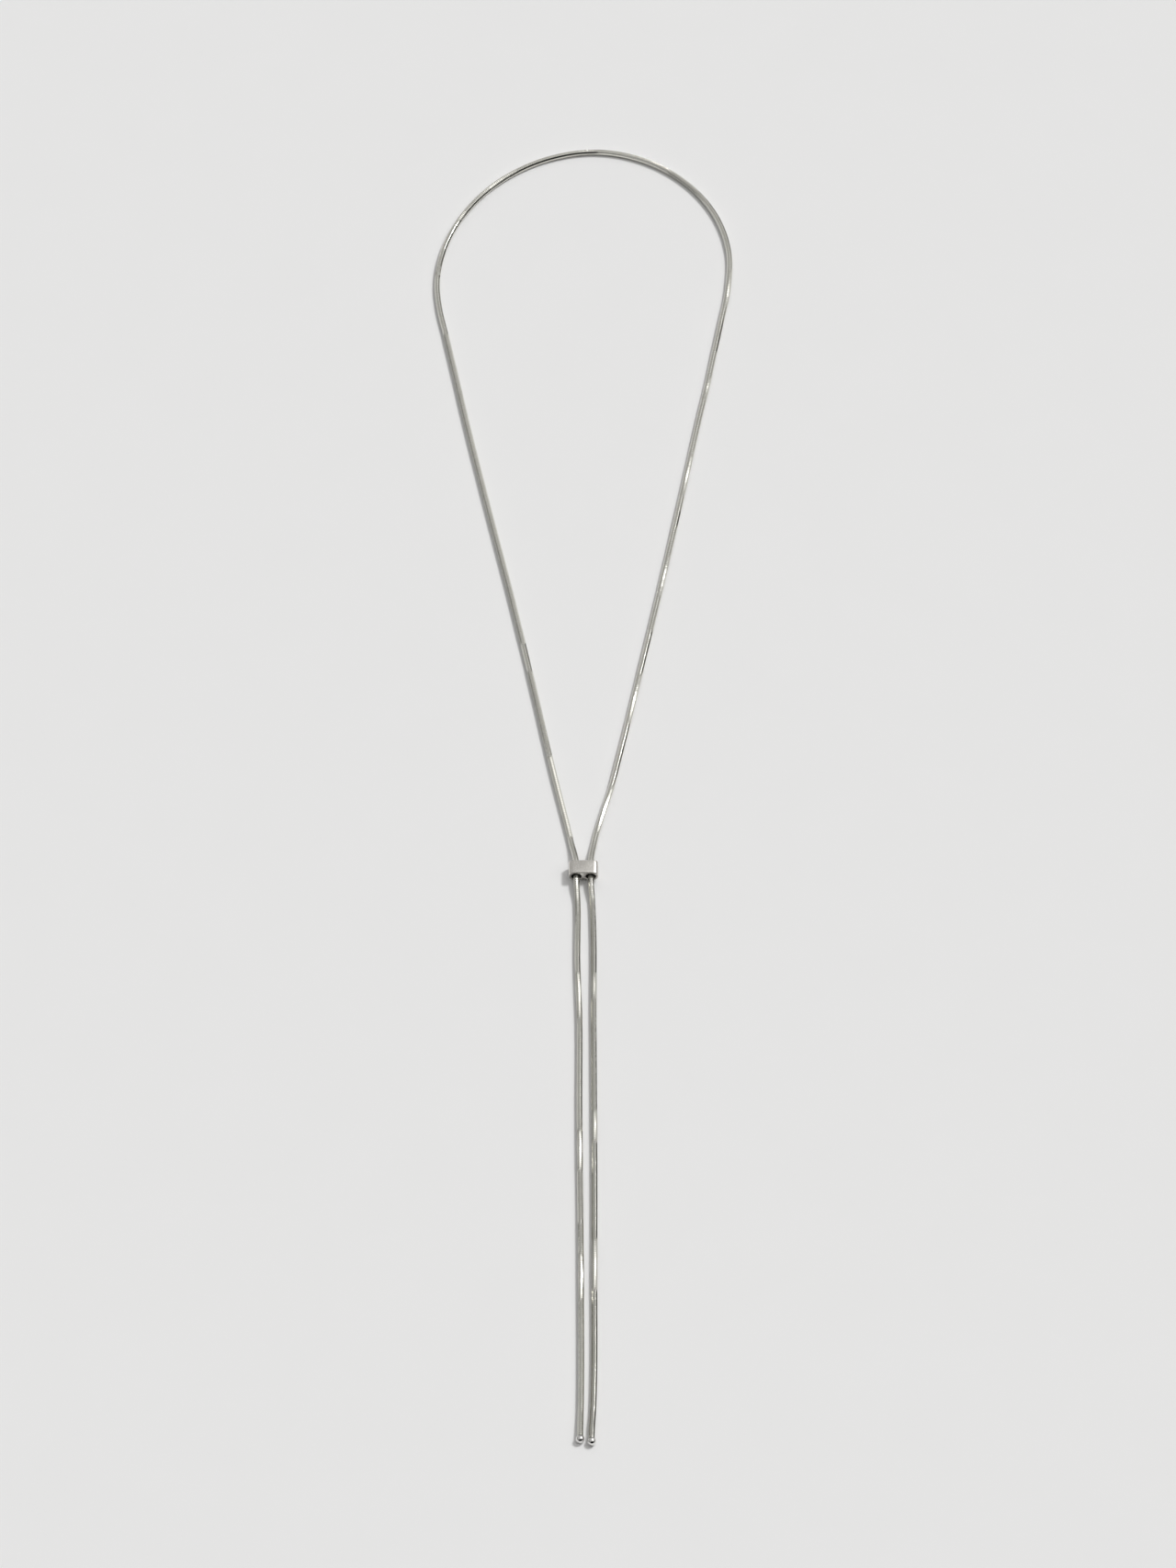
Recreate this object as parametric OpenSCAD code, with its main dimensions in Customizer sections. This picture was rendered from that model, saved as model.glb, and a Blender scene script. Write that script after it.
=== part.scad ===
// Bolo necklace: a faceted snake chain whose two ends run side by side through a
// flat-fronted slide and finish in polished end beads. It lies as it was laid out on
// a table: X across, Y along the necklace towards the top of the neck loop, Z up.

/* [Chain] */
// Width of the chain across its corners
chain_d = 2.1; // [1.8:0.05:2.3]
// Number of sides of the chain
chain_sides = 8; // [8, 10, 12]

/* [Slide] */
// Width of the slide across the necklace
slide_w = 9.9; // [9:0.1:12]
// Length of the slide along the chain
slide_len = 5.2; // [4:0.1:8]
// Thickness of the slide, from its two round lobes to its flat front
slide_t = 5; // [4.6:0.1:6]
// Diameter of the two holes that the chain runs through
slide_hole_d = 3.5; // [3:0.1:3.8]
// Distance between the centres of the two holes
slide_hole_gap = 4.9; // [4.6:0.1:5.2]
// Rounding of the two long front edges
slide_edge_r = 1.2; // [0.6:0.1:1.6]
// Bevel round the mouths of the holes
slide_mouth_bevel = 0.2; // [0.1:0.05:0.3]

/* [End beads] */
// Diameter of each end bead
bead_d = 2.8; // [2.6:0.1:4]
// Distance from a bead's centre to the flat seat that faces the chain
bead_seat = 0.9; // [0.7:0.05:1.1]

/* [Hidden] */

// Fineness of the round surfaces
round_fn = 64;
// Small gap between pieces that meet
gap = 0.05;

// Height of the chain's centre where it lies on its lowest flat
lie_z = chain_d / 2 * cos(180 / chain_sides);
// Place of the slide's middle
slide_x = 0.2;
slide_y = -49.5;
// Height of the chain's centre where it passes through the holes
hole_z = slide_t / 2 - 0.25;
// Where the web between the two lobes starts, above the surface
web_z = 1.4;
web_w = 1;
// How far the chain's straight stretch runs past each end of the slide
past_slide = 0.4;
left_hole_x = slide_x - slide_hole_gap / 2;
right_hole_x = slide_x + slide_hole_gap / 2;
slide_foot_y = slide_y - slide_len / 2 - past_slide;
slide_head_y = slide_y + slide_len / 2 + past_slide;

// Centres of the two beads, which touch the surface
left_bead_at = [-0.8, -267.1, bead_d / 2];
right_bead_at = [2.9, -267.9, bead_d / 2];
// From a bead's centre to the end of the chain
bead_reach = bead_seat + gap;

// The chain's route, chosen by hand: place of the centre, and the number of rings from
// that point to the next one
// x, y, z, rings
left_tail = [
    [left_bead_at[0], left_bead_at[1] + bead_reach, bead_d / 2, 2],
    [-0.6, -256, lie_z, 2],
    [-0.6, -205, lie_z, 2],
    [-1.15, -140, lie_z, 2],
    [-1.1, -110, lie_z, 2],
    [-1.75, -85, lie_z, 2],
    [-1.8, -62, lie_z, 2],
];
left_side = [
    [-4, -37, lie_z, 2],
    [-10, -8.5, lie_z, 2],
    [-17.2, 28.5, lie_z, 2],
    [-24.9, 66.5, lie_z, 2],
    [-33, 104, lie_z, 2],
    [-41, 142, lie_z, 2],
    [-45.9, 167, lie_z, 1],
    [-49.1, 183, lie_z, 1],
    [-51.5, 195, lie_z, 1],
];
round_top = [
    [-52.5, 206, lie_z, 2],
    [-49.5, 225, lie_z, 2],
    [-41, 242.5, lie_z, 2],
    [-28, 256.5, lie_z, 2],
    [-12, 265.5, lie_z, 2],
    [5, 268.5, lie_z, 2],
    [22, 264.5, lie_z, 2],
    [37, 254, lie_z, 2],
    [47.5, 239, lie_z, 2],
    [52.5, 221, lie_z, 2],
    [52, 204.5, lie_z, 2],
];
right_side = [
    [49.1, 187.5, lie_z, 1],
    [46.8, 175, lie_z, 1],
    [44.1, 160, lie_z, 1],
    [41.6, 147.5, lie_z, 2],
    [34.2, 108, lie_z, 2],
    [27.1, 71, lie_z, 2],
    [19.5, 33, lie_z, 2],
    [13.4, 3, lie_z, 1],
    [11.8, -4.5, lie_z, 1],
    [9.4, -15.5, lie_z, 1],
    [7.3, -23, lie_z, 1],
    [3.9, -37, lie_z, 2],
];
right_tail = [
    [3.2, -62, lie_z, 2],
    [3.6, -110, lie_z, 3],
    [3.8, -205, lie_z, 2],
    [3.4, -256, lie_z, 2],
    [right_bead_at[0], right_bead_at[1] + bead_reach, bead_d / 2, 1],
];
route = concat(
    left_tail,
    [[left_hole_x, slide_foot_y, hole_z, 1], [left_hole_x, slide_head_y, hole_z, 2]],
    left_side,
    round_top,
    right_side,
    [[right_hole_x, slide_head_y, hole_z, 1], [right_hole_x, slide_foot_y, hole_z, 2]],
    right_tail
);
last = len(route) - 1;

function spot(i) = [route[i][0], route[i][1], route[i][2]];
function unit(v) = v / norm(v);

// Direction of the route at point i, level and leaning towards the nearer neighbour
function heading(i) =
    i == 0 || i == last ? [0, i == 0 ? 1 : -1, 0]
    : let (
        back = spot(i) - spot(i - 1),
        ahead = spot(i + 1) - spot(i),
        lean = back * norm(ahead) / norm(back) + ahead * norm(back) / norm(ahead)
    )
        unit([lean[0], lean[1], 0]);

// Smooth curve from point i to the next one, at the share t of the way
function along(i, t) =
    let (reach = norm(spot(i + 1) - spot(i)))
        spot(i) * (2 * t ^ 3 - 3 * t ^ 2 + 1)
        + heading(i) * reach * (t ^ 3 - 2 * t ^ 2 + t)
        + spot(i + 1) * (3 * t ^ 2 - 2 * t ^ 3)
        + heading(i + 1) * reach * (t ^ 3 - t ^ 2);

// Centre of every ring of the chain
ring_spots = concat(
    [for (i = [0 : last - 1]) for (k = [0 : route[i][3] - 1]) along(i, k / route[i][3])],
    [spot(last)]
);
rings = len(ring_spots);

function ring_heading(k) =
    k == 0 ? heading(0)
    : k == rings - 1 ? heading(last)
    : unit(ring_spots[k + 1] - ring_spots[k - 1]);

// Corners of ring k, with one flat side facing down
function ring(k) =
    let (
        ahead = ring_heading(k),
        aside = unit([-ahead[1], ahead[0], 0]),
        above = cross(ahead, aside)
    )
    [for (s = [0 : chain_sides - 1])
        let (turn = (s + 0.5) * 360 / chain_sides)
            ring_spots[k] + chain_d / 2 * (cos(turn) * aside + sin(turn) * above)];

module snake_chain() {
    corners = [for (k = [0 : rings - 1]) each ring(k)];
    walls = [for (k = [0 : rings - 2]) for (s = [0 : chain_sides - 1])
        let (a = k * chain_sides, b = a + chain_sides, n = (s + 1) % chain_sides)
            each [[a + s, b + s, b + n], [a + s, b + n, a + n]]];
    first_end = [for (s = [0 : chain_sides - 1]) s];
    last_end = [for (s = [chain_sides - 1 : -1 : 0]) (rings - 1) * chain_sides + s];
    color([0.74, 0.74, 0.71])
        polyhedron(corners, concat([first_end, last_end], walls));
}

// Outline of the slide across the chain: two round lobes behind a flat front
module slide_outline() {
    for (side = [-1, 1]) {
        translate([side * slide_hole_gap / 2, slide_t / 2])
            circle(d = slide_t, $fn = round_fn);
        translate([side * (slide_w / 2 - slide_edge_r), slide_t - slide_edge_r])
            circle(r = slide_edge_r, $fn = round_fn);
    }
    translate([-slide_w / 2, slide_t / 2])
        square([slide_w, slide_t / 2 - slide_edge_r]);
    translate([-slide_w / 2 + slide_edge_r, slide_t / 2])
        square([slide_w - 2 * slide_edge_r, slide_t / 2]);
    translate([-web_w / 2, web_z])
        square([web_w, slide_t / 2]);
}

// A hole right through the slide, bevelled at both mouths
module slide_hole() {
    over = 0.1;
    bevel = slide_mouth_bevel;
    rotate([90, 0, 0]) {
        cylinder(d = slide_hole_d, h = slide_len + 2 * over, center = true, $fn = round_fn);
        for (end = [0, 1]) mirror([0, 0, end])
            translate([0, 0, slide_len / 2 - bevel])
                cylinder(
                    d1 = slide_hole_d,
                    d2 = slide_hole_d + 2 * (bevel + over),
                    h = bevel + over,
                    $fn = round_fn
                );
    }
}

module slide() {
    color([0.78, 0.77, 0.75])
        translate([slide_x, slide_y, 0])
            difference() {
                rotate([90, 0, 0])
                    linear_extrude(slide_len, center = true) slide_outline();
                for (side = [-1, 1])
                    translate([side * slide_hole_gap / 2, 0, slide_t / 2]) slide_hole();
            }
}

// A ball with a flat seat that faces the end of the chain
module end_bead(at) {
    color([0.82, 0.82, 0.8])
        translate(at)
            difference() {
                sphere(d = bead_d, $fn = round_fn);
                translate([-bead_d, bead_seat, -bead_d])
                    cube([2 * bead_d, bead_d, 2 * bead_d]);
            }
}

module left_end_bead() {
    end_bead(left_bead_at);
}

module right_end_bead() {
    end_bead(right_bead_at);
}

snake_chain();
slide();
left_end_bead();
right_end_bead();
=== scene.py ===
import math
import random

import bpy
import numpy as np
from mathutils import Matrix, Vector
from mathutils.geometry import tessellate_polygon


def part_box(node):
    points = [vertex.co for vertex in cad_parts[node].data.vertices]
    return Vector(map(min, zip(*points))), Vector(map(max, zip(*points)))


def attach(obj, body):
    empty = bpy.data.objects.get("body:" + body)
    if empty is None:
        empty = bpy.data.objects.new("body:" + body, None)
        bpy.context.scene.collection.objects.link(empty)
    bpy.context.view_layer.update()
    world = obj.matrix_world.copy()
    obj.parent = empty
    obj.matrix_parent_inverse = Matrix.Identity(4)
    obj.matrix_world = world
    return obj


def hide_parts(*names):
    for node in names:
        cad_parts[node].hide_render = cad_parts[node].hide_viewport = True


# Bolo necklace, dressed: a ribbed eight-sided snake chain, its slide and its two end beads.
# Everything is in metres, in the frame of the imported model.
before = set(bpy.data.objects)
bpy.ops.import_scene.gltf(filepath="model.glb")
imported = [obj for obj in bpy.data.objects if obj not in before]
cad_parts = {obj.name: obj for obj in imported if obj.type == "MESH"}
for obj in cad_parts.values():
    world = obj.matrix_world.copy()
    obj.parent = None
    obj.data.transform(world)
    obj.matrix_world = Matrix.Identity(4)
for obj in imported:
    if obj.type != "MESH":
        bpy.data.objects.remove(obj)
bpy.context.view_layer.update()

MM = 0.001
LEFT = Vector((-1, 0, 0))
RIGHT = Vector((1, 0, 0))
UP = Vector((0, 0, 1))

# The camera: how far its axis leans from straight down, its distance, the place that it looks at,
# the picture's height in pixels, and its scale at that place
CAMERA_LEAN = math.radians(35)
CAMERA_DISTANCE = 2.2
CAMERA_TARGET = Vector((0.0017, -0.0123, 0))
PHOTO_HEIGHT = 1707
PIXELS_PER_METRE = 3200
# The sensor's height in millimetres, and the distances between which the camera sees
SENSOR_HEIGHT = 24
NEAREST_SEEN = 0.05
FARTHEST_SEEN = 100

# The lamp that draws the shadows: its direction, its strength and how wide it looks
KEY_DIRECTION = Vector((0.62, 0.45, 1))
KEY_STRENGTH = 1.43
KEY_SPREAD = math.radians(10)

# The room that the metal mirrors. Each edge in it is a pair of dot products with a direction:
# where the light starts to change, and where it has changed.
# Strengths of the ceiling, which grows a little brighter to the left, and of the walls, which are
# dark except on the left
CEILING = 0.43
CEILING_LEFT = 0.47
DARK_WALL = 0.02
LEFT_WALL = 0.25
ROOM_TINT = (1, 0.995, 0.985, 1)
# Edges of the ceiling's and the walls' brighter left part
CEILING_EDGE = (0.2, 0.7)
WALL_EDGE = (0.13, 0.55)
# The edge between the walls and the ceiling, as a height, and how much lower it is ahead
WALL_TOP_EDGE = (0.33, 0.49)
WALL_TOP_DROP = 0.33
# The dark front, below the camera: its direction, its edge, and the share of light left in it
DARK_FRONT = Vector((0.1, -0.94, 0.33))
DARK_FRONT_EDGE = (0.72, 0.86)
DARK_FRONT_SHARE = 0.08
# Two round panels in the ceiling, with the angles from their direction at which they end and at
# which they are brightest, in degrees
OVERHEAD = {"direction": (0.15, 0.05, 1), "ends": 26, "full": 14, "strength": 0.6}
AHEAD = {"direction": (0.05, 0.6, 0.8), "ends": 32, "full": 8, "strength": 0.04}
# A window round the lamp: its strength, its outer edge, its edges above and below the lamp, and
# its edge on the left
WINDOW = 0.8
WINDOW_EDGE = (0.62, 0.80)
WINDOW_SILL_EDGE = (0.14, 0.3)
WINDOW_LEFT_EDGE = (0.1, 0.3)

# The floor: how far it reaches each way, and the number of its cells
FLOOR_REACH = 15
FLOOR_CELLS = 24

# The chain: half its width across two flats, the narrow bevel along each corner, the height of
# its centre where it lies and where it passes through the slide, and what its ends are short of
# the beads
CHAIN_SIDES = 8
CHAIN_FLAT = 0.965 * MM
CORNER_BEVEL = math.radians(3.5)
LIE_Z = 1.025 * MM
BORE_Z = 2.27 * MM
END_TRIM = 0.15 * MM
# Its ribs: their spacing, the depth of the groove between two and its share of a rib at each
# end, how far the corners zigzag, and the most that a rib is turned, in degrees, and tilted
RIB_PITCH = 0.7 * MM
GROOVE_DEPTH = 0.05 * MM
GROOVE_SHARE = 0.15
RIB_SWAY = 0.08 * MM
RIB_TURN = 1.1
RIB_TILT = 0.005 * MM
RIB_SEED = 11
# The length over which the chain's direction is taken, each way
DIRECTION_REACH = 0.3 * MM

# The slide: its lobes and holes, the crown of its front, its shoulders with their bend in
# degrees, the rounding of its sides and of the edges of its ends, and the narrow flat strip
# beside each edge of its ends
SLIDE_LOBE_GAP = 4.9 * MM
SLIDE_HOLE_R = 1.75 * MM
SLIDE_NOTCH_Z = 1.4 * MM
CROWN = 0.08 * MM
SHOULDER_R = 2.4 * MM
SHOULDER_BEND = 25
EDGE_R = 1.2 * MM
FRONT_ROUNDING = 0.4 * MM
LOBE_ROUNDING = 0.25 * MM
MOUTH_ROUNDING = 0.2 * MM
FLAT_STRIP = 0.04 * MM
# The number of steps on each of its curves
LOBE_STEPS = 36
EDGE_STEPS = 12
SHOULDER_STEPS = 9
FRONT_STEPS = 8
HOLE_STEPS = 48
ROUNDING_STEPS = 7

# The beads: diameter, distance from the centre to the flat seat, and the rounding of its rim,
# which starts at that angle before the rim, in radians, and has one point between its ends
BEAD_D = 2.8 * MM
BEAD_SEAT = 0.9 * MM
SEAT_ROUNDING = 0.12 * MM
SEAT_ROUNDING_ANGLE = 0.06
SEAT_ROUNDING_POINT = (0.4, 0.15)
BEAD_STEPS = 27
BEAD_STEPS_AROUND = 48

# The range that nearly all of a noise's values lie in
NOISE_RANGE = (0.3, 0.7)
# The finishes: colours where the metal is brightest and where it is dullest, its roughness at
# its smoothest and roughest, and the scales and heights of its waves and grain. The shade tones
# are painted shade: they darken the tails' copies of the chain's finish, for the dimmer light
# that the tails mirror.
CHAIN_COLOURS = ((0.86, 0.85, 0.785), (0.79, 0.78, 0.72))
CHAIN_SHADE_TONES = {"left_tail": 0.92, "neck_loop": 1, "right_tail": 0.82}
CHAIN_ROUGHNESS = (0.15, 0.21)
CHAIN_WAVE_SCALE = 90
CHAIN_GRAIN_SCALE = 5000
CHAIN_GRAIN = {"strength": 0.25, "distance": 0.01 * MM}
# The grooves' colour is painted shade, for the shaded gaps between the links; the grooves are also
# rougher
GROOVE_SHADE_COLOUR = (0.20, 0.195, 0.17)
GROOVE_ROUGHER = 0.15
SLIDE_FINISH = {
    "colours": ((0.79, 0.765, 0.72), (0.72, 0.695, 0.655)),
    "roughness": (0.24, 0.28),
    "wave_scale": 300,
    "wave_height": 0.04 * MM,
    "grain_scale": 2500,
}
BEAD_FINISH = {
    "colours": ((0.82, 0.81, 0.79), (0.78, 0.77, 0.75)),
    "roughness": (0.09, 0.13),
    "wave_scale": 500,
    "wave_height": 0.01 * MM,
    "grain_scale": 4000,
}
# The inside of the slide's holes: painted near black, as painted shade deep in the holes, and rough
BORE_SHADE_COLOURS = ((0.10, 0.095, 0.09), (0.20, 0.195, 0.185))
BORE_METALLIC = 0.7
BORE_ROUGHNESS = (0.4, 0.6)
BORE_GRAIN_SCALE = 3000
BORE_GRAIN = {"strength": 0.4, "distance": 0.03 * MM}
FLOOR_COLOURS = ((0.88, 0.88, 0.88), (0.875, 0.875, 0.875))
FLOOR_ROUGHNESS = 0.9
FLOOR_SPECULAR = 0.1
FLOOR_GRAIN_SCALE = 40

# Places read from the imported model
LEFT_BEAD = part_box("left_end_bead")
RIGHT_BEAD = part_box("right_end_bead")
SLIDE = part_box("slide")


def bead_centre(corners):
    """Centre of a bead's ball, whose flat seat cuts its +Y side."""
    low, high = corners
    return Vector(((low.x + high.x) / 2, low.y + BEAD_D / 2, (low.z + high.z) / 2))


LEFT_BEAD_AT = bead_centre(LEFT_BEAD)
RIGHT_BEAD_AT = bead_centre(RIGHT_BEAD)
SLIDE_AT = (SLIDE[0] + SLIDE[1]) / 2
SLIDE_END = (SLIDE[1].y - SLIDE[0].y) / 2
# How far from the slide's middle the chain runs straight, which is a little past its ends
PAST_SLIDE = SLIDE_END + 0.4 * MM
LEFT_HOLE_X = SLIDE_AT.x - SLIDE_LOBE_GAP / 2
RIGHT_HOLE_X = SLIDE_AT.x + SLIDE_LOBE_GAP / 2

# The chain's route: places of its centre, from the left bead up the left tail,
# round the neck loop and down to the right bead
ROUTE = [
    (LEFT_BEAD_AT.x, LEFT_BEAD_AT.y + BEAD_SEAT, LEFT_BEAD_AT.z),
    (-0.0006, -0.2560, LIE_Z),
    (-0.0006, -0.2050, LIE_Z),
    (-0.0011, -0.1400, LIE_Z),
    (-0.0011, -0.1100, LIE_Z),
    (-0.0018, -0.0850, LIE_Z),
    (-0.0018, -0.0620, LIE_Z),
    (LEFT_HOLE_X, SLIDE_AT.y - PAST_SLIDE, BORE_Z),
    (LEFT_HOLE_X, SLIDE_AT.y + PAST_SLIDE, BORE_Z),
    (-0.0040, -0.0370, LIE_Z),
    (-0.0100, -0.0085, LIE_Z),
    (-0.0172, 0.0285, LIE_Z),
    (-0.0249, 0.0665, LIE_Z),
    (-0.0330, 0.1040, LIE_Z),
    (-0.0410, 0.1420, LIE_Z),
    (-0.0459, 0.1670, LIE_Z),
    (-0.0491, 0.1830, LIE_Z),
    (-0.0515, 0.1950, LIE_Z),
    (-0.0525, 0.2060, LIE_Z),
    (-0.0495, 0.2250, LIE_Z),
    (-0.0410, 0.2425, LIE_Z),
    (-0.0280, 0.2565, LIE_Z),
    (-0.0120, 0.2655, LIE_Z),
    (0.0050, 0.2685, LIE_Z),
    (0.0220, 0.2645, LIE_Z),
    (0.0370, 0.2540, LIE_Z),
    (0.0475, 0.2390, LIE_Z),
    (0.0525, 0.2210, LIE_Z),
    (0.0520, 0.2045, LIE_Z),
    (0.0491, 0.1875, LIE_Z),
    (0.0468, 0.1750, LIE_Z),
    (0.0441, 0.1600, LIE_Z),
    (0.0416, 0.1475, LIE_Z),
    (0.0342, 0.1080, LIE_Z),
    (0.0271, 0.0710, LIE_Z),
    (0.0195, 0.0330, LIE_Z),
    (0.0134, 0.0030, LIE_Z),
    (0.0118, -0.0045, LIE_Z),
    (0.0094, -0.0155, LIE_Z),
    (0.0073, -0.0230, LIE_Z),
    (0.0039, -0.0370, LIE_Z),
    (RIGHT_HOLE_X, SLIDE_AT.y + PAST_SLIDE, BORE_Z),
    (RIGHT_HOLE_X, SLIDE_AT.y - PAST_SLIDE, BORE_Z),
    (0.0032, -0.0620, LIE_Z),
    (0.0036, -0.1100, LIE_Z),
    (0.0038, -0.2050, LIE_Z),
    (0.0034, -0.2560, LIE_Z),
    (RIGHT_BEAD_AT.x, RIGHT_BEAD_AT.y + BEAD_SEAT, RIGHT_BEAD_AT.z),
]

# How the eight sides lie: they are turned a little from one stroke of the cutter to the next.
# Each row holds the length along the chain where the stroke starts, in millimetres, and the
# turn of the sides at its start and at its end, in degrees
STROKES = [
    (0, -2, 0),
    (50, 9, 17),
    (59, 17, 9),
    (67, -2, 2),
    (79, -14, -18),
    (99, 8, 17),
    (108, 17, 10),
    (114, -3, -9),
    (150, -4, -1),
    (158, 7, 17),
    (169, 17, 9),
    (176, -5, 1),
    (200, 4, 11),
    (214, 10, -10),
    (221, -14, -13),
    (231, 9, 14),
    (265, -3, 1),
    (302, -11, -8),
    (314, 2, 4),
    (425, -1, 2),
    (454, -12, -8),
    (481, 4, 2),
    (493, -1, 1),
    (508, 10, 10),
    (513, 5, 6),
    (521, 8, 9),
    (527, 13, 10),
    (540, 5, 5),
    (571, -9, -9),
    (581, -9, -6),
    (600, 12, 14),
    (624, 13, 12),
    (636, 11, 13),
    (653, 19, 28),
    (663, 28, 18),
    (670, 10, 6),
    (678, 2, 1),
    (691, 11, 13),
    (703, 18, 22),
    (708, 22, 16),
    (714, 11, 12),
    (736, 17, 24),
    (748, 24, 18),
    (757, 10, 9),
    (764, 2, 2),
    (771, 10, 14),
    (783, 17, 24),
    (793, 24, 18),
    (802, 11, 14),
    (817, 2, 4),
    (836, 17, 24),
    (846, 25, 19),
    (857, 5, 1),
    (878, 4, 10),
    (884, 18, 26),
    (894, 26, 20),
    (904, 12, 12),
    (918, 2, 1),
    (932, 1, 3),
    (961, -5, -12),
    (966, -12, -6),
    (971, 0, 2),
    (1015, -6, -14),
    (1021, -14, -7),
    (1027, 4, 4),
    (1064, -6, -14),
    (1074, -14, -8),
    (1083, 4, 4),
]
# The length over which the sides turn from one stroke to the next, and a length that is past the
# chain's end
STROKE_JUMP = 1.2 * MM
PAST_CHAIN = 2.0


def unit(rows):
    """Each row of vectors at length one."""
    return rows / np.linalg.norm(rows, axis=1)[:, None]


def level_headings(points):
    """Direction of the route at each of its points, level, leaning towards the nearer neighbour."""
    steps = np.diff(points, axis=0)
    reach = np.linalg.norm(steps, axis=1)[:, None]
    lean = np.zeros_like(points)
    lean[1:-1] = steps[:-1] * reach[1:] / reach[:-1] + steps[1:] * reach[:-1] / reach[1:]
    lean[:, 2] = 0
    lean[0] = (0, 1, 0)
    lean[-1] = (0, -1, 0)
    return unit(lean)


def fine_route(points, steps_per_span=60):
    """Closely spaced places on the smooth curve through the points, and the length up to each."""
    headings = level_headings(points)
    t = np.linspace(0, 1, steps_per_span, endpoint=False)[:, None]
    places = []
    for i in range(len(points) - 1):
        reach = np.linalg.norm(points[i + 1] - points[i])
        places.append(
            points[i] * (2 * t**3 - 3 * t**2 + 1)
            + headings[i] * reach * (t**3 - 2 * t**2 + t)
            + points[i + 1] * (3 * t**2 - 2 * t**3)
            + headings[i + 1] * reach * (t**3 - t**2)
        )
    places = np.concatenate(places + [points[-1:]])
    steps = np.linalg.norm(np.diff(places, axis=0), axis=1)
    return places, np.concatenate([[0], np.cumsum(steps)])


def at_length(places, lengths, s):
    """Places on the curve at the lengths s."""
    return np.stack([np.interp(s, lengths, places[:, k]) for k in range(3)], axis=-1)


def turn_at(s):
    """Turn of the chain's sides at the lengths s, in radians."""
    knots = []
    turns = []
    ends = [row[0] * MM for row in STROKES[1:]] + [PAST_CHAIN]
    for (start, first, last), end in zip(STROKES, ends):
        knots += [start * MM + STROKE_JUMP / 2, end - STROKE_JUMP / 2]
        turns += [first, last]
    return np.radians(np.interp(s, knots, turns))


def mesh_object(name, vertices, faces, materials, smooth=False):
    """A new object of that mesh, linked to the scene."""
    mesh = bpy.data.meshes.new(name)
    mesh.from_pydata([tuple(v) for v in vertices], [], faces)
    for material in materials:
        mesh.materials.append(material)
    mesh.polygons.foreach_set("use_smooth", [smooth] * len(mesh.polygons))
    mesh.update()
    made = bpy.data.objects.new(name, mesh)
    bpy.context.scene.collection.objects.link(made)
    return made


def rib_rings(first, last, rng):
    """The rings of the ribs from the length first to the length last. The arrays hold each
    ring's length along the chain, 1 for a ring in a groove and 0 for one on a rib, the turn of
    its rib, and how far the rib's tilt lifts it."""
    ribs = round((last - first) / RIB_PITCH)
    pitch = (last - first) / ribs
    rings = []
    for rib in range(ribs):
        turn = math.radians(rng.uniform(-RIB_TURN, RIB_TURN))
        tilt = rng.uniform(-1, 1) * RIB_TILT
        rings.append((first + rib * pitch, 1, turn, 0))
        for share in (GROOVE_SHARE, 1 - GROOVE_SHARE):
            rings.append((first + (rib + share) * pitch, 0, turn, tilt * (2 * share - 1)))
    rings.append((last, 1, 0, 0))
    return [np.array(column) for column in zip(*rings)]


def tube_faces(around, rings):
    """Faces of a tube with closed ends, of that many rings with that many corners around."""
    faces = []
    for ring in range(rings - 1):
        for corner in range(around):
            a = ring * around + corner
            b = ring * around + (corner + 1) % around
            faces.append((a, b, b + around, a + around))
    faces.append(tuple(range(around - 1, -1, -1)))
    faces.append(tuple(range((rings - 1) * around, rings * around)))
    return faces


def chain_piece(name, places, lengths, first, last, material, rng):
    """The chain from the length first to the length last, as one ribbed eight-sided tube."""
    s, groove, turn, rise = rib_rings(first, last, rng)
    flat = CHAIN_FLAT - GROOVE_DEPTH * groove + rise
    centre = at_length(places, lengths, s)
    before = at_length(places, lengths, s - DIRECTION_REACH)
    after = at_length(places, lengths, s + DIRECTION_REACH)
    ahead = unit(after - before)
    aside = unit(np.stack([-ahead[:, 1], ahead[:, 0], np.zeros(len(s))], axis=-1))
    above = np.cross(ahead, aside)
    half = math.pi / CHAIN_SIDES
    reach = (flat / math.cos(half - CORNER_BEVEL))[:, None]
    corners = []
    for corner in range(CHAIN_SIDES):
        sway = RIB_SWAY * (1 if corner % 2 else -1)
        for bevel in (-CORNER_BEVEL, CORNER_BEVEL):
            angle = (2 * corner + 1) * half + bevel + turn + turn_at(s)
            outward = np.cos(angle)[:, None] * aside + np.sin(angle)[:, None] * above
            corners.append(centre + reach * outward + sway * ahead)
    around = len(corners)
    vertices = np.stack(corners, axis=1).reshape(-1, 3)
    piece = mesh_object(name, vertices, tube_faces(around, len(s)), [material])
    depth = piece.data.attributes.new("groove", "FLOAT", "POINT")
    depth.data.foreach_set("value", np.repeat(groove, around).astype(np.float32))
    return piece


def arc(x, z, radius, start, end, steps):
    """Points on an arc round (x, z), from the angle start to the angle end, in degrees."""
    turns = [math.radians(start + (end - start) * i / steps) for i in range(steps + 1)]
    return [(x + radius * math.cos(a), z + radius * math.sin(a)) for a in turns]


def rounding(distance, radius):
    """How far a rounded edge has drawn in, at that distance from the end face."""
    if distance >= radius:
        return 0.0
    return radius - math.sqrt(radius**2 - (radius - distance)**2)


def rounding_steps(radius):
    """Distances from an end face, closest together where its rounded edge starts."""
    turns = [math.radians(90 * i / ROUNDING_STEPS) for i in range(ROUNDING_STEPS + 1)]
    return [radius * (1 - math.cos(turn)) for turn in turns]


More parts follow.
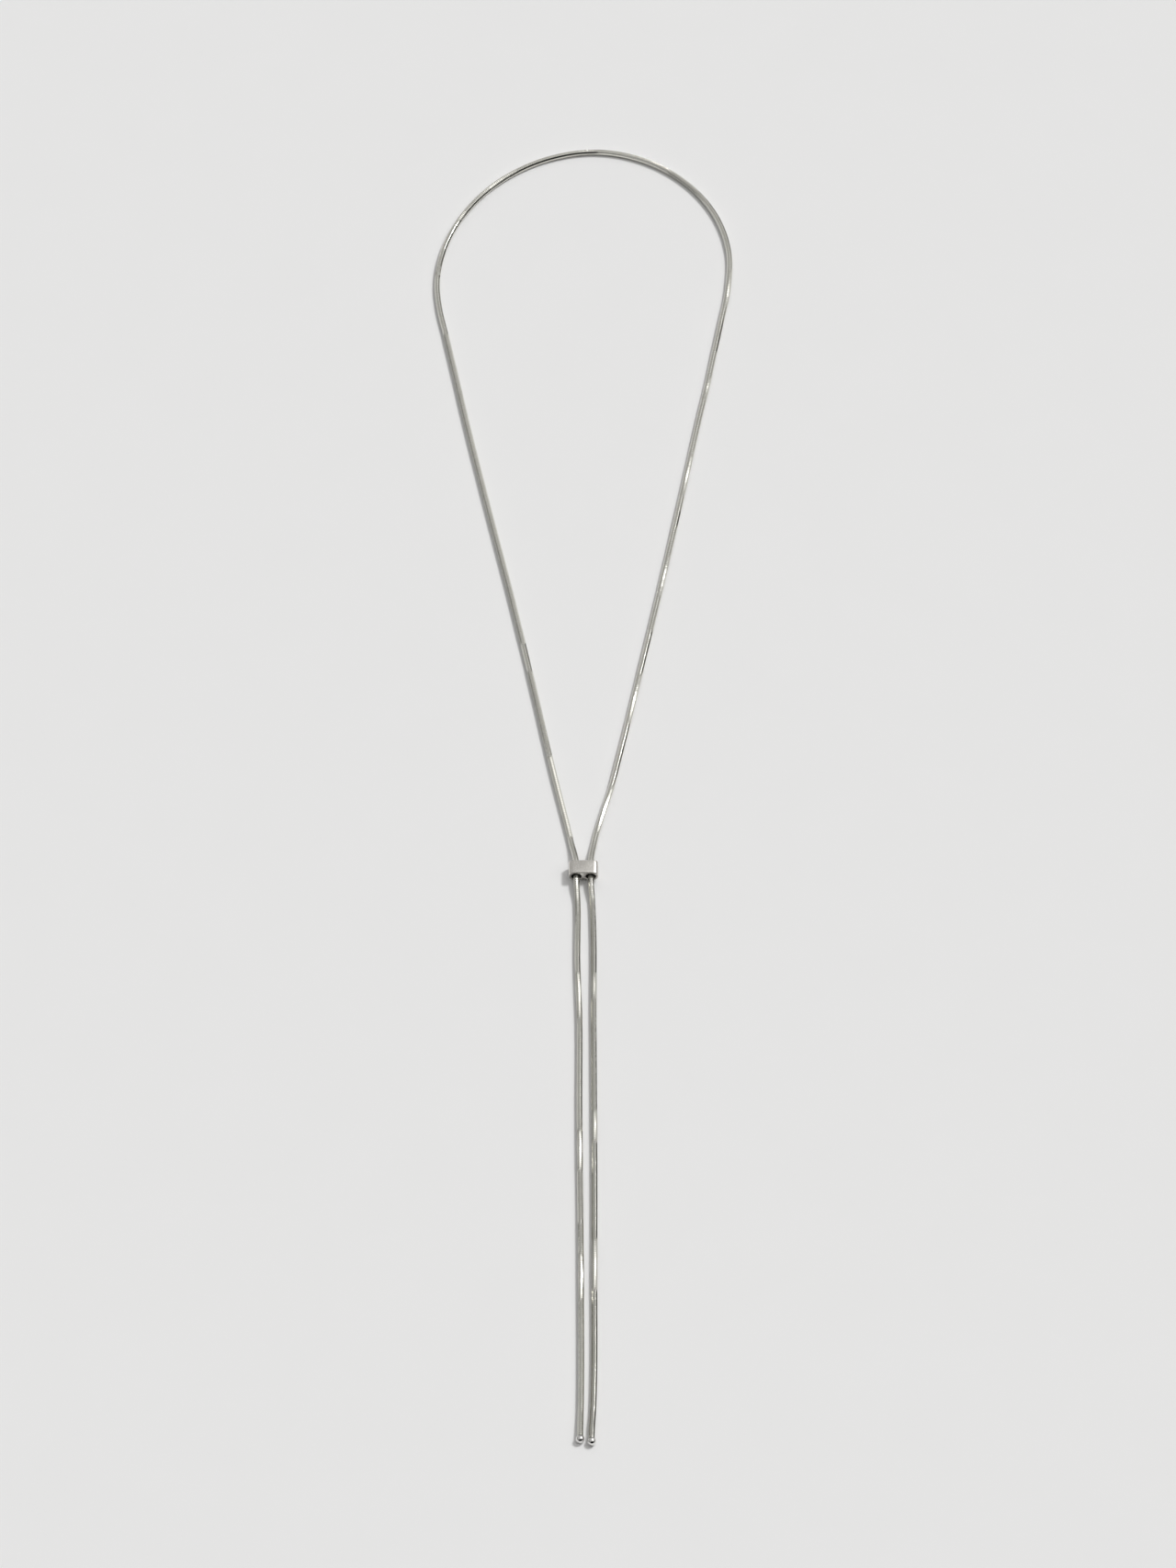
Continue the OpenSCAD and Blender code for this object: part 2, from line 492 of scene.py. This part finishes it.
def slide_outline(front_inset, lobe_inset):
    """Section of the slide: two round lobes behind a slightly crowned front with soft shoulders."""
    thickness = SLIDE[1].z - SLIDE[0].z
    half_width = (SLIDE[1].x - SLIDE[0].x) / 2
    lobe_x = SLIDE_LOBE_GAP / 2
    lobe_z = thickness / 2
    lobe_r = lobe_z - lobe_inset
    notch = SLIDE_NOTCH_Z + lobe_inset
    notch_x = lobe_x - math.sqrt(lobe_r**2 - (lobe_z - notch)**2)
    start = math.degrees(math.atan2(notch - lobe_z, notch_x - lobe_x))
    right = arc(lobe_x, lobe_z, lobe_r, start, 0, LOBE_STEPS)
    # The shoulder: a wide arc that leans out from the front, and a tighter one round to the side
    bend = math.radians(SHOULDER_BEND)
    face_x = half_width - SHOULDER_R * math.sin(bend) - EDGE_R * (1 - math.sin(bend))
    edge_x = half_width - EDGE_R
    drop = CROWN + SHOULDER_R * (1 - math.cos(bend)) + EDGE_R * math.cos(bend)
    turned = 90 - SHOULDER_BEND
    tight = arc(edge_x, thickness - drop, EDGE_R, 0, turned, EDGE_STEPS)
    wide = arc(face_x, thickness - CROWN - SHOULDER_R, SHOULDER_R, turned, 90, SHOULDER_STEPS)
    across = [face_x * (1 - i / FRONT_STEPS) for i in range(1, FRONT_STEPS)]
    face = [(x, thickness - CROWN * (x / face_x)**2) for x in across]
    for x, z in tight + wide[1:] + face:
        share = (z - lobe_z) / (thickness - lobe_z)
        inset = lobe_inset + (front_inset - lobe_inset) * share
        if x > lobe_x:
            out = math.hypot(x - lobe_x, z - lobe_z)
            right.append((x - inset * (x - lobe_x) / out, z - inset * (z - lobe_z) / out))
        else:
            right.append((x, z - inset))
    return right + [(-x, z) for x, z in reversed(right)]


def hole_outline(side, radius):
    """Round section of a hole."""
    x = side * SLIDE_LOBE_GAP / 2
    z = (SLIDE[1].z - SLIDE[0].z) / 2
    return arc(x, z, radius, 0, 360, HOLE_STEPS)[:-1]


def body_sections():
    """Sections of the slide's body from its lower end to its upper end: how far the front and
    the lobes are drawn in, and the place along the chain."""
    body = [(FRONT_ROUNDING + FLAT_STRIP, LOBE_ROUNDING + FLAT_STRIP, -SLIDE_END)]
    for distance in rounding_steps(FRONT_ROUNDING):
        insets = rounding(distance, FRONT_ROUNDING), rounding(distance, LOBE_ROUNDING)
        body.append((*insets, -SLIDE_END + distance))
    return body + [(front, lobe, -y) for front, lobe, y in reversed(body)]


def mouth_sections():
    """Sections of a hole's mouth at the slide's lower end: how much wider it is there, and the
    place along the chain."""
    mouth = [(MOUTH_ROUNDING + FLAT_STRIP, -SLIDE_END)]
    for distance in rounding_steps(MOUTH_ROUNDING):
        mouth.append((rounding(distance, MOUTH_ROUNDING), -SLIDE_END + distance))
    return mouth


def join(a, b, inward=False):
    """Faces between two rings of equally many points."""
    made = []
    for i in range(len(a)):
        n = (i + 1) % len(a)
        face = (a[i], a[n], b[n], b[i])
        made.append(face[::-1] if inward else face)
    return made


def end_flat(vertices, rims, upper):
    """Faces of the slide's flat end, between its outline and the mouths of its two holes."""
    flat = [index for rim in rims for index in rim]
    loops = [[Vector((vertices[i][0], vertices[i][2], 0)) for i in rim] for rim in rims]
    made = []
    for triangle in tessellate_polygon(loops):
        face = tuple(flat[i] for i in triangle)
        a, b, c = (Vector(vertices[i]) for i in face)
        faces_up = (b - a).cross(c - a).y > 0
        made.append(face if faces_up == upper else face[::-1])
    return made


def slide_piece(polished, shaded_bore):
    """The slide: a rounded body with two bores whose mouths are rounded too."""
    vertices = []

    def add_ring(points, y):
        start = len(vertices)
        vertices.extend((SLIDE_AT.x + x, SLIDE_AT.y + y, SLIDE[0].z + z) for x, z in points)
        return list(range(start, len(vertices)))

    rings = [add_ring(slide_outline(front, lobe), y) for front, lobe, y in body_sections()]
    faces = []
    for a, b in zip(rings, rings[1:]):
        faces += join(a, b)
    bore_faces = []
    lower_rims = [rings[0]]
    upper_rims = [rings[-1]]
    for side in (-1, 1):
        mouth = [(hole_outline(side, SLIDE_HOLE_R + wider), y) for wider, y in mouth_sections()]
        lower = [add_ring(outline, y) for outline, y in mouth]
        upper = [add_ring(outline, -y) for outline, y in mouth]
        for a, b in zip(lower, lower[1:]):
            faces += join(a, b, inward=True)
        for a, b in zip(upper, upper[1:]):
            faces += join(a, b)
        bore_faces += join(lower[-1], upper[-1], inward=True)
        lower_rims.append(lower[0])
        upper_rims.append(upper[0])
    faces += end_flat(vertices, lower_rims, upper=False)
    faces += end_flat(vertices, upper_rims, upper=True)
    piece = mesh_object("slide_body", vertices, faces + bore_faces, [polished, shaded_bore], smooth=True)
    # The bores take the finish that is painted with shade
    for polygon in piece.data.polygons[len(faces):]:
        polygon.material_index = 1
    return piece


def bead_section():
    """Half of a bead's section, from the far side of the ball to the middle of the seat: distance
    from the axis, and distance along it towards the chain."""
    radius = BEAD_D / 2
    seat_r = math.sqrt(radius**2 - BEAD_SEAT**2)
    ball_end = math.asin(BEAD_SEAT / radius) - SEAT_ROUNDING_ANGLE
    inward, back = SEAT_ROUNDING_POINT
    section = [(0, -radius)]
    for i in range(1, BEAD_STEPS + 1):
        a = -math.pi / 2 + (ball_end + math.pi / 2) * i / BEAD_STEPS
        section.append((radius * math.cos(a), radius * math.sin(a)))
    section.append((seat_r - SEAT_ROUNDING * inward, BEAD_SEAT - SEAT_ROUNDING * back))
    section.append((seat_r - SEAT_ROUNDING, BEAD_SEAT))
    section.append((0, BEAD_SEAT))
    return section


def bead_piece(name, centre, material):
    """A polished ball with a flat seat, whose rim is rounded, towards the end of the chain."""
    section = bead_section()
    around = BEAD_STEPS_AROUND
    vertices = [(centre.x, centre.y + section[0][1], centre.z)]
    for r, y in section[1:-1]:
        for k in range(around):
            a = 2 * math.pi * k / around
            vertices.append((centre.x + r * math.cos(a), centre.y + y, centre.z + r * math.sin(a)))
    vertices.append((centre.x, centre.y + section[-1][1], centre.z))
    tip = len(vertices) - 1
    faces = []
    for k in range(around):
        n = (k + 1) % around
        faces.append((0, 1 + k, 1 + n))
        for ring in range(len(section) - 3):
            a = 1 + ring * around
            b = a + around
            faces.append((a + k, b + k, b + n, a + n))
        faces.append((tip, tip - around + n, tip - around + k))
    return mesh_object(name, vertices, faces, [material], smooth=True)


def new_material(name):
    """A node material, its node tree and its shader."""
    material = bpy.data.materials.new(name)
    material.use_nodes = True
    return material, material.node_tree, material.node_tree.nodes["Principled BSDF"]


def noise(tree, scale, detail=3):
    """A noise over the object's own coordinates, and its value."""
    place = tree.nodes.new("ShaderNodeTexCoord")
    made = tree.nodes.new("ShaderNodeTexNoise")
    made.inputs["Scale"].default_value = scale
    made.inputs["Detail"].default_value = detail
    tree.links.new(place.outputs["Object"], made.inputs["Vector"])
    return made.outputs["Fac"]


def map_range(tree, value, start, end, low, high, interpolation="LINEAR"):
    """A value brought from start..end to low..high."""
    made = tree.nodes.new("ShaderNodeMapRange")
    made.interpolation_type = interpolation
    made.inputs["From Min"].default_value = start
    made.inputs["From Max"].default_value = end
    made.inputs["To Min"].default_value = low
    made.inputs["To Max"].default_value = high
    tree.links.new(value, made.inputs["Value"])
    return made.outputs["Result"]


def spread(tree, value, low, high):
    """A noise's value brought to low..high."""
    return map_range(tree, value, *NOISE_RANGE, low, high)


def combine(tree, operation, first, second):
    """Two values added or multiplied."""
    made = tree.nodes.new("ShaderNodeMath")
    made.operation = operation
    tree.links.new(first, made.inputs[0])
    tree.links.new(second, made.inputs[1])
    return made.outputs["Value"]


def colour_mix(tree, share, second):
    """A node that mixes its colour A with a second colour, by a share from 0 to 1."""
    made = tree.nodes.new("ShaderNodeMix")
    made.data_type = "RGBA"
    made.inputs["B"].default_value = (*second, 1)
    tree.links.new(share, made.inputs["Factor"])
    return made


def wandering_colour(tree, value, first, second):
    """A colour that a noise moves from the first to the second."""
    made = colour_mix(tree, spread(tree, value, 0, 1), second)
    made.inputs["A"].default_value = (*first, 1)
    return made.outputs["Result"]


def add_bump(tree, shader, height, strength, distance):
    """A bump of that height under the shader."""
    made = tree.nodes.new("ShaderNodeBump")
    made.inputs["Strength"].default_value = strength
    made.inputs["Distance"].default_value = distance
    tree.links.new(height, made.inputs["Height"])
    tree.links.new(made.outputs["Normal"], shader.inputs["Normal"])


def polished_metal(name, colours, roughness, wave_scale, wave_height, grain_scale):
    """Polished silver-tone metal whose tone and gloss wander a little."""
    material, tree, shader = new_material(name)
    slow = noise(tree, wave_scale)
    fine = noise(tree, grain_scale, detail=4)
    shader.inputs["Metallic"].default_value = 1
    tree.links.new(wandering_colour(tree, slow, *colours), shader.inputs["Base Color"])
    tree.links.new(spread(tree, fine, *roughness), shader.inputs["Roughness"])
    add_bump(tree, shader, slow, 1, wave_height)
    return material


def chain_material(name, tone):
    """Diamond-cut chain: bright flats, and grooves painted darker and rougher. The dark grooves are
    painted shade, for the shaded gaps between the links.
    """
    material, tree, shader = new_material(name)
    slow = noise(tree, CHAIN_WAVE_SCALE)
    fine = noise(tree, CHAIN_GRAIN_SCALE, detail=4)
    groove = tree.nodes.new("ShaderNodeAttribute")
    groove.attribute_name = "groove"
    # The tone darkens this copy of the finish: painted shade on the tails
    bright, dull = (tuple(tone * part for part in colour) for colour in CHAIN_COLOURS)
    # Painted shade: the grooves take the dark colour
    groove_shaded_colour = colour_mix(tree, groove.outputs["Fac"], GROOVE_SHADE_COLOUR)
    tree.links.new(wandering_colour(tree, slow, bright, dull), groove_shaded_colour.inputs["A"])
    rougher = tree.nodes.new("ShaderNodeMath")
    rougher.operation = "MULTIPLY_ADD"
    rougher.inputs[1].default_value = GROOVE_ROUGHER
    tree.links.new(groove.outputs["Fac"], rougher.inputs[0])
    tree.links.new(spread(tree, fine, *CHAIN_ROUGHNESS), rougher.inputs[2])
    shader.inputs["Metallic"].default_value = 1
    tree.links.new(groove_shaded_colour.outputs["Result"], shader.inputs["Base Color"])
    tree.links.new(rougher.outputs["Value"], shader.inputs["Roughness"])
    add_bump(tree, shader, fine, **CHAIN_GRAIN)
    return material


def shaded_bore_material():
    """The unpolished inside of the slide's holes, painted near black: painted shade, for the shade
    deep in the holes.
    """
    material, tree, shader = new_material("bore_painted_shade")
    grain = noise(tree, BORE_GRAIN_SCALE)
    shader.inputs["Metallic"].default_value = BORE_METALLIC
    tree.links.new(wandering_colour(tree, grain, *BORE_SHADE_COLOURS), shader.inputs["Base Color"])
    tree.links.new(spread(tree, grain, *BORE_ROUGHNESS), shader.inputs["Roughness"])
    add_bump(tree, shader, grain, **BORE_GRAIN)
    return material


def floor_material():
    """Plain pale surface, with the faintest unevenness."""
    material, tree, shader = new_material("pale_floor")
    grain = noise(tree, FLOOR_GRAIN_SCALE)
    tree.links.new(wandering_colour(tree, grain, *FLOOR_COLOURS), shader.inputs["Base Color"])
    shader.inputs["Roughness"].default_value = FLOOR_ROUGHNESS
    shader.inputs["Specular IOR Level"].default_value = FLOOR_SPECULAR
    return material


def add_camera():
    """The camera at the photograph's angle."""
    back = Vector((0, -math.sin(CAMERA_LEAN), math.cos(CAMERA_LEAN)))
    data = bpy.data.cameras.new("camera")
    data.sensor_fit = "VERTICAL"
    data.sensor_height = SENSOR_HEIGHT
    data.lens = SENSOR_HEIGHT * PIXELS_PER_METRE * CAMERA_DISTANCE / PHOTO_HEIGHT
    data.clip_start = NEAREST_SEEN
    data.clip_end = FARTHEST_SEEN
    camera = bpy.data.objects.new("camera", data)
    bpy.context.scene.collection.objects.link(camera)
    camera.location = CAMERA_TARGET + back * CAMERA_DISTANCE
    camera.rotation_mode = "QUATERNION"
    camera.rotation_quaternion = (-back).to_track_quat("-Z", "Y")
    bpy.context.scene.camera = camera


def add_key_light():
    """A small bright lamp from the upper right, which draws the shadows."""
    data = bpy.data.lights.new("key", "SUN")
    data.energy = KEY_STRENGTH
    data.angle = KEY_SPREAD
    key = bpy.data.objects.new("key", data)
    bpy.context.scene.collection.objects.link(key)
    key.location = KEY_DIRECTION
    key.rotation_mode = "QUATERNION"
    key.rotation_quaternion = (-KEY_DIRECTION).to_track_quat("-Z", "Y")


def add_room():
    """The room that the metal mirrors: a lit ceiling with two round panels, a window round the
    lamp, a dimmer left wall, dark walls elsewhere, and a dark front below the camera."""
    world = bpy.data.worlds.new("room")
    bpy.context.scene.world = world
    world.use_nodes = True
    tree = world.node_tree
    background = tree.nodes["Background"]
    place = tree.nodes.new("ShaderNodeTexCoord")

    def along(direction):
        made = tree.nodes.new("ShaderNodeVectorMath")
        made.operation = "DOT_PRODUCT"
        made.inputs[1].default_value = direction
        tree.links.new(place.outputs["Generated"], made.inputs[0])
        return made.outputs["Value"]

    def fade(direction, edge, low, high):
        return map_range(tree, along(direction), *edge, low, high, "SMOOTHSTEP")

    def panel(direction, ends, full, strength):
        edge = math.cos(math.radians(ends)), math.cos(math.radians(full))
        return fade(Vector(direction).normalized(), edge, 0, strength)

    def total(first, *others):
        for other in others:
            first = combine(tree, "ADD", first, other)
        return first

    def product(first, *others):
        for other in others:
            first = combine(tree, "MULTIPLY", first, other)
        return first

    over_lamp = KEY_DIRECTION.cross(UP.cross(KEY_DIRECTION)).normalized()
    window = product(
        fade(KEY_DIRECTION.normalized(), WINDOW_EDGE, 0, WINDOW),
        fade(over_lamp, WINDOW_SILL_EDGE, 1, 0),
        fade(-over_lamp, WINDOW_SILL_EDGE, 1, 0),
        fade(RIGHT, WINDOW_LEFT_EDGE, 0, 1),
    )
    ceiling = fade(LEFT, CEILING_EDGE, CEILING, CEILING_LEFT)
    walls = fade(LEFT, WALL_EDGE, DARK_WALL, LEFT_WALL)
    mix = tree.nodes.new("ShaderNodeMix")
    tree.links.new(fade((0, WALL_TOP_DROP, 1), WALL_TOP_EDGE, 0, 1), mix.inputs["Factor"])
    tree.links.new(walls, mix.inputs["A"])
    tree.links.new(total(ceiling, panel(**OVERHEAD), panel(**AHEAD), window), mix.inputs["B"])
    front = fade(DARK_FRONT, DARK_FRONT_EDGE, 1, DARK_FRONT_SHARE)
    tree.links.new(product(mix.outputs["Result"], front), background.inputs["Strength"])
    background.inputs["Color"].default_value = ROOM_TINT


def add_floor():
    """A wide pale surface that the necklace lies on."""
    side = FLOOR_CELLS + 1
    marks = [FLOOR_REACH * (2 * i / FLOOR_CELLS - 1) for i in range(side)]
    vertices = [(x, y, 0) for y in marks for x in marks]
    faces = [
        (r * side + c, r * side + c + 1, (r + 1) * side + c + 1, (r + 1) * side + c)
        for r in range(FLOOR_CELLS)
        for c in range(FLOOR_CELLS)
    ]
    floor = mesh_object("floor", vertices, faces, [floor_material()])


def build_necklace():
    """The chain in three lengths that meet inside the slide, the slide and the two beads."""
    rng = random.Random(RIB_SEED)
    places, lengths = fine_route(np.array(ROUTE, float))
    # The lengths at which the chain passes the middle of the slide, on its way up and down
    past_middle = np.flatnonzero(places[:, 1] > SLIDE_AT.y)
    up = lengths[past_middle[0]]
    down = lengths[past_middle[-1]]
    stretches = [
        ("left_tail", END_TRIM, up),
        ("neck_loop", up, down),
        ("right_tail", down, lengths[-1] - END_TRIM),
    ]
    for stretch, first, last in stretches:
        # Each stretch has its own copy of the finish, darkened on the tails by painted shade
        metal = chain_material(f"{stretch}_metal", CHAIN_SHADE_TONES[stretch])
        piece = chain_piece(f"chain_{stretch}", places, lengths, first, last, metal, rng)
        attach(piece, "root")
        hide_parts("snake_chain")

    slide = slide_piece(polished_metal("slide_metal", **SLIDE_FINISH), shaded_bore_material())
    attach(slide, "root")
    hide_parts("slide")

    bead_metal = polished_metal("bead_metal", **BEAD_FINISH)
    for name, node, centre in (
        ("left_bead", "left_end_bead", LEFT_BEAD_AT),
        ("right_bead", "right_end_bead", RIGHT_BEAD_AT),
    ):
        bead = bead_piece(name, centre, bead_metal)
        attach(bead, "root")
        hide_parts(node)


add_camera()
build_necklace()
add_floor()
add_key_light()
add_room()
# Colours go to the picture as they are, without a film curve
bpy.context.scene.view_settings.view_transform = "Standard"
